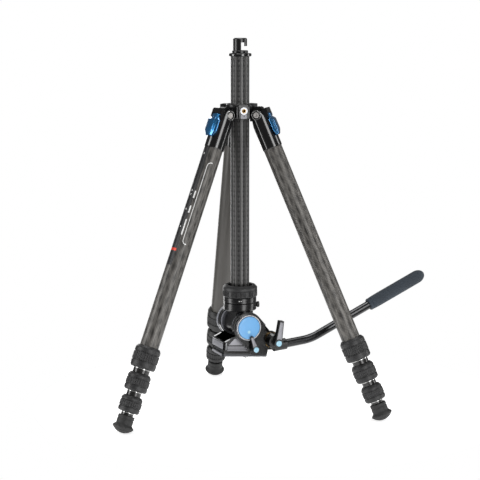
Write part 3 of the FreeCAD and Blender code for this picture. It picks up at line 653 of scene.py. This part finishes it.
def fluted(r, z, angle):
    """Shallow round grooves run down the column."""
    if r < COLUMN_RADIUS - 0.5:
        return r
    step = 2 * math.pi / FLUTES
    off = abs((angle - FLUTE_PHASE + step / 2) % step - step / 2) * COLUMN_RADIUS
    if off >= FLUTE_HALF_WIDTH:
        return r
    return r - FLUTE_DEPTH * (1 - (off / FLUTE_HALF_WIDTH) ** 2) ** 0.5


column_profile = [(COLUMN_BORE, 176.0), (COLUMN_RADIUS, 176.0), (COLUMN_RADIUS, 536.4), (COLUMN_BORE, 536.4)]
column = lathe(fillet(column_profile, 0.2), 480, fluted)
finish_object("column_tube", column, M["carbon_column"], "column", ["center_column"],
              column_frame, 60)
keep_cad("column_end_cap", M["black_gloss"], 0.3)
keep_cad("ballast_hook", M["black_soft"], 0.4)

# ---------------------------------------------------------------- head on the column
COLLAR_RADIUS, COLLAR_BORE = 26.2, 18.5
collar_profile = [(COLLAR_BORE, 174.0), (25.0, 174.0, 0.5), (26.0, 174.9, 0.4), (COLLAR_RADIUS, 175.6, 0.2)]
collar_profile += [(COLLAR_RADIUS, 176.0 + 1.35 * k, 0) for k in range(6)]
collar_profile += [(COLLAR_RADIUS, 183.3, 0.3), (25.5, 183.8, 0.2), (25.5, 184.3, 0.2), (26.1, 184.8, 0.4),
                   (26.1, 188.2, 0.8), (22.8, 191.7, 0.8), (19.4, 191.7, 0.5), (COLLAR_BORE, 190.8, 0.4)]


def collar_ribs(r, z, angle):
    """Groups of five grip grooves with plain pads between them."""
    if not (175.9 < z < 182.9 and r > COLLAR_RADIUS - 0.2):
        return r
    groups, grooves, share, depth = 12, 5, 0.68, 0.8
    where = (angle * groups / (2 * math.pi)) % 1.0
    if where > share:
        return r
    wave = math.cos(2 * math.pi * grooves * where / share)
    return r - depth * (0.5 - 0.5 * max(-1.0, min(1.0, 2.0 * wave)))


finish_object("collar_grip", lathe(fillet(collar_profile, 0.3), 720, collar_ribs), M["rubber"], "collar",
              ["column_collar"], column_frame)

platform = [(0, 165.4, 0), (24.2, 165.4, 0.3), (24.75, 165.9, 0.3), (24.75, 172.9, 0.4), (24.1, 173.6, 0.3),
            (18.2, 173.6, 0.2), (18.2, 184.8, 0.4), (14.03, 184.8, 0.3), (14.03, 175.95, 0.1), (0, 175.95, 0)]
finish_object("platform_ring", lathe(fillet(platform, 0.2), 128), M["black_soft"], "column",
              ["head_platform"], column_frame)
# Pieces of the head that show their CAD shape, with the look and the edge radius of each
for node, look, edge in (
    ("pan_base", "black_soft", 0.3),
    ("pan_lock_knob", "plastic", 0.25),
    ("head_body", "black_satin", 0.8),
    ("tilt_shaft", "grey", 0.3),
    ("tilt_arm_front", "black_gloss", 0.8),
    ("tilt_arm_rear", "black_gloss", 0.8),
    ("tilt_lock_knob", "grey", 0.4),
    ("clamp_base", "black_gloss", 0.4),
    ("clamp_jaw", "black_gloss", 0.3),
    ("clamp_lever", "black_satin", 0.5),
    ("camera_plate", "plate_grey", 0.4),
    ("camera_screw", "steel", 0.2),
    ("handle_rosette", "brass", 0.2),
    ("handle_socket", "black_satin", 0.5),
    ("handle_lever", "black_satin", 0.6),
    ("handle_rod", "rod", 0),
):
    keep_cad(node, M[look], edge)

# Bright index marks on the platform ring
for k, dx in enumerate((-1.5, 1.5)):
    mark = box((dx - 0.9, 169.1), (dx + 0.9, 170.7), -24.82, -24.5, 0.1)
    finish_object("index_mark_%d" % (k + 1), mark, M["steel"], "column", (), column_frame)

# Silver ring and blue cap on the tilt axis
FORWARD = (0, -1, 0)
ring = [(17.35, 33.3), (20.1, 33.3, 0.2), (20.1, 36.6, 0.7), (19.2, 37.7, 0.4), (17.9, 37.7, 0.3),
        (17.35, 37.1, 0.2)]
finish_object("tilt_ring", turned_to(lathe(fillet(ring, 0.2), 160), FORWARD, (0, 0, TILT_Z)), M["silver"],
              "tilt", (), head_frame)
cap = [(0, 33.6, 0), (17.25, 33.6, 0.1), (17.25, 37.6, 0.6), (16.4, 38.4, 0.5), (12.0, 38.55, 0),
       (0, 38.6, 0)]
finish_object("tilt_cap", turned_to(lathe(fillet(cap, 0.2, 4), 128), FORWARD, (0, 0, TILT_Z)), M["sky"],
              "tilt", ["tilt_cap_front"], head_frame)
# A plain round dot on the cap
dot = lathe(fillet([(0, 38.4), (1.0, 38.4), (1.0, 38.66), (0, 38.66)], 0.06), 48)
dot = turned_to(dot, FORWARD, (0, 0, 0))
bmesh.ops.scale(dot, vec=(2.4, 1.0, 2.4), verts=dot.verts)
bmesh.ops.translate(dot, vec=(-0.5, 0, TILT_Z - 6.2), verts=dot.verts)
finish_object("cap_emblem", dot, M["sky_pale"], "tilt", (), head_frame)


def button(name, x, z, start, end, radius, body, node, matrix):
    """Domed blue cap on a lever's hub."""
    profile = [(0, start, 0), (radius, start, 0.1), (radius, end - 0.5, 0.4), (radius - 0.8, end, 0.4),
               (0, end + 0.05, 0)]
    bm = turned_to(lathe(fillet(profile, 0.2), 72), FORWARD, (x, 0, z))
    finish_object(name, bm, M["sky_pale"], body, [node], matrix)


LEVER_X, LEVER_Z, LEVER_FRONT = 12.0, 98.9, 43.6
ROSETTE_X, ROSETTE_Z = 40.5, 108.0
button("clamp_lever_button", LEVER_X, LEVER_Z, LEVER_FRONT + 0.02, LEVER_FRONT + 1.2, 4.0, "jaw_lever",
       "clamp_lever_cap", lean_frame)
button("handle_lever_button", ROSETTE_X, ROSETTE_Z, 57.02, 58.6, 4.4, "grip_lever",
       "handle_lever_cap", head_frame)


def lever_face(name, x, z, hub, reach, lean, tip, y, body, matrix):
    """Grey face let into a lever's outer side."""
    a = math.radians(lean)
    along_x, along_z = math.cos(a), math.sin(a)
    blade = ((0, hub), (reach * 0.55, tip * 0.95), (reach * 0.94, tip * 0.75), (reach * 0.94, -tip * 0.75),
             (reach * 0.55, -tip * 1.0), (0, -hub))
    outline = [(x + along_x * d - along_z * w, z + along_z * d + along_x * w) for d, w in blade]
    bm = prism(outline, -y - 0.18, -y + 0.4, 0.15)
    finish_object(name, bm, M["lever_grey"], body, (), matrix)


lever_face("clamp_lever_face", LEVER_X, LEVER_Z, 3.4, 21.0, 114.0, 2.3, LEVER_FRONT - 0.2, "jaw_lever",
           lean_frame)
lever_face("handle_lever_face", ROSETTE_X, ROSETTE_Z, 4.4, 34.0, 81.3, 3.2, 56.8, "grip_lever", head_frame)

# Grey panels let into the clamp, and bright upper edges
CLAMP_SIDE = 25.18
for side, tag in SIDES:
    y0, y1 = sorted((side * (CLAMP_SIDE + 0.12), side * (CLAMP_SIDE - 0.6)))
    for k, (z0, z1) in enumerate(((93.5, 94.5), (95.6, 97.3), (98.4, 100.1))):
        panel = box((-27.6, z0), (27.6, z1), y0, y1, 0.12)
        finish_object("clamp_panel_%d_%s" % (k + 1, tag), panel, M["lever_grey"], "tilt", (),
                      lean_frame)
    outline = [(-26.0, 102.0), (-16.8, 112.2), (-13.0, 112.2), (-4.0, 107.0), (-4.0, 102.0)]
    gusset = prism(outline, y0, y1, 0.12)
    finish_object("clamp_gusset_face_" + tag, gusset, M["lever_grey"], "tilt", (), lean_frame)
    line = box((-30.0, 94.9), (-29.3, 105.4), y0, y1, 0.1)
    finish_object("clamp_pillar_line_" + tag, line, M["silver"], "tilt", (), lean_frame)
for (end, tag), x in zip(SIDES, (-34.0, 35.0)):
    for k, (z0, z1, tone) in enumerate(((94.9, 103.6, "lever_grey"), (104.1, 105.9, "silver"))):
        x0, x1 = sorted((x + end * 0.1, x - end * 0.6))
        bar = box((-22.3, z0), (22.3, z1), x0, x1, 0.12, "yz")
        finish_object("clamp_bar_%d_%s" % (k + 1, tag), bar, M[tone], "tilt", (), lean_frame)

# Bright end of the plate
end_bar = box((-20.2, 84.5), (20.2, 87.7), -34.1, -33.4, 0.12, "yz")
finish_object("plate_end_face", end_bar, M["lever_grey"], "plate", (), lean_frame)

# Bright lower edge along the plate's front and back
for side, tag in SIDES:
    y0, y1 = sorted((side * 23.08, side * 22.4))
    edge = box((-31, 84.2), (37, 85.2), y0, y1, 0.1)
    finish_object("plate_edge_" + tag, edge, M["lever_grey"], "plate", (), lean_frame)

# Rubber pads on the plate's camera face
for k, y in enumerate((-16.2, 16.2)):
    pad = box((-30, y - 1.3), (36, y + 1.3), 83.65, 84.1, 0.12, "xy")
    finish_object("plate_pad_%d" % (k + 1), pad, M["rubber"], "plate", (), lean_frame)

# ---------------------------------------------------------------- handle
# The rod runs straight from ROD_START at the slope FIRST, bends to SLOPE, and is straight again to the grip
ROD_START, HANDLE_Y = (46.0, 101.4), -38.5
FIRST, SLOPE = math.radians(6.0), math.radians(25.0)
STRAIGHT, BEND, TO_GRIP = 42.2, 76.0, 95.0
GRIP_RADIUS, GRIP_BORE, GRIP_DEPTH = 9.9, 6.55, 55.3
GRIP_SHOULDER, GRIP_DOME = 90, 14
grip_x = (ROD_START[0] + STRAIGHT * math.cos(FIRST) + BEND * (math.sin(SLOPE) - math.sin(FIRST))
          + TO_GRIP * math.cos(SLOPE))
grip_z = (ROD_START[1] + STRAIGHT * math.sin(FIRST) + BEND * (math.cos(FIRST) - math.cos(SLOPE))
          + TO_GRIP * math.sin(SLOPE))
grip = [(GRIP_BORE, 0, 0.1), (8.6, 0, 0.6), (9.4, 1.0, 0.6), (9.4, 4.2, 0.3), (9.0, 4.6, 0.2),
        (9.0, 5.2, 0.2), (9.5, 5.7, 0.4), (9.75, 12.0, 0)]
grip += [(GRIP_RADIUS, 20.0 + 9.5 * k, 0) for k in range(8)]
for a in range(4, 90, 6):
    angle = math.radians(a)
    grip.append((GRIP_RADIUS * math.cos(angle), GRIP_SHOULDER + GRIP_DOME * math.sin(angle), 0))
grip += [(0, 104.0, 0), (0, GRIP_DEPTH, 0), (GRIP_BORE, GRIP_DEPTH, 0)]
grip_axis = (math.cos(SLOPE), 0, math.sin(SLOPE))
grip_mesh = turned_to(lathe(fillet(grip, 0.3), 96), grip_axis, (grip_x, HANDLE_Y, grip_z))
grip_piece = finish_object("foam_grip", grip_mesh, M["foam"], "handle", ["handle_grip"],
                           head_frame)

# ---------------------------------------------------------------- floor, lights and camera
# The floor is a small disc that glows a little. A larger one shows in all the gloss black faces
FLOOR_RADIUS, FLOOR_GLOW = 0.37, 0.7
floor_material = Nodes("pale_floor")
floor_tone = floor_material.ramp(floor_material.noise(3.0), [(0.0, (0.90,) * 3), (1.0, (0.96,) * 3)])
floor_material.set(color=floor_tone, rough=0.8, spec=0.1)
floor_material.link(floor_tone, floor_material.shader.inputs["Emission Color"])
floor_material.shader.inputs["Emission Strength"].default_value = FLOOR_GLOW
floor_mesh = bpy.data.meshes.new("floor")
floor_bm = bmesh.new()
bmesh.ops.create_circle(floor_bm, cap_ends=True, segments=96, radius=FLOOR_RADIUS)
floor_bm.to_mesh(floor_mesh)
floor_bm.free()
floor_mesh.materials.append(floor_material.material)
floor = bpy.data.objects.new("floor", floor_mesh)
bpy.context.scene.collection.objects.link(floor)

scene = bpy.context.scene
scene.view_settings.view_transform = "Standard"
world = bpy.data.worlds.new("studio")
scene.world = world
world.use_nodes = True
# Camera rays see a white backdrop, and all other rays a weaker, even fill light
fill = world.node_tree.nodes["Background"]
fill.inputs["Color"].default_value = (1, 1, 1, 1)
fill.inputs["Strength"].default_value = 0.14
backdrop = world.node_tree.nodes.new("ShaderNodeBackground")
backdrop.inputs["Strength"].default_value = 1.0
backdrop.inputs["Color"].default_value = (1, 1, 1, 1)
seen = world.node_tree.nodes.new("ShaderNodeLightPath")
shown = world.node_tree.nodes.new("ShaderNodeMixShader")
world.node_tree.links.new(seen.outputs["Is Camera Ray"], shown.inputs[0])
world.node_tree.links.new(fill.outputs[0], shown.inputs[1])
world.node_tree.links.new(backdrop.outputs[0], shown.inputs[2])
world.node_tree.links.new(shown.outputs[0], world.node_tree.nodes["World Output"].inputs["Surface"])


def softbox(name, at, toward, size, brightness):
    """A rectangular studio light aimed at a point. Brightness is what a reflection of it shows."""
    light = bpy.data.lights.new(name, "AREA")
    light.shape = "RECTANGLE"
    light.size, light.size_y = size
    light.energy = brightness * math.pi * size[0] * size[1]
    obj = bpy.data.objects.new(name, light)
    obj.location = at
    obj.rotation_euler = (Vector(toward) - Vector(at)).to_track_quat("-Z", "Y").to_euler()
    scene.collection.objects.link(obj)


middle, level = Vector((0, 0, 0.28)), Vector((0, 0, 0.45))
softbox("left_light", (-2.1, -0.6, 0.45), level, (0.8, 2.8), 6.0)
softbox("front_light", (1.1, -2.1, 0.45), level, (0.9, 2.8), 6.0)
softbox("right_light", (2.2, 0.2, 0.45), level, (0.5, 2.8), 5.5)
softbox("top_light", (0, 0.2, 2.4), middle, (1.2, 1.2), 5.0)
softbox("back_light", (-0.8, 2.2, 0.45), level, (0.9, 2.8), 3.0)

# The camera looks down a little from 2.5 m, level with the middle of the column
PITCH, DISTANCE, LOOK_HEIGHT = math.radians(8.85), 2.5, 0.2597
SENSOR, FOCAL_TO_WIDTH = 36.0, 1652 / 480
camera_data = bpy.data.cameras.new("camera")
camera_data.sensor_width = SENSOR
camera_data.lens = SENSOR * FOCAL_TO_WIDTH
camera = bpy.data.objects.new("camera", camera_data)
forward = Vector((0, math.cos(PITCH), -math.sin(PITCH)))
target = Vector((column_at.x, column_at.y, LOOK_HEIGHT + base.z))
camera.location = target - forward * DISTANCE
camera.rotation_euler = forward.to_track_quat("-Z", "Y").to_euler()
camera_data.clip_start, camera_data.clip_end = 0.05, 50
scene.collection.objects.link(camera)
scene.camera = camera
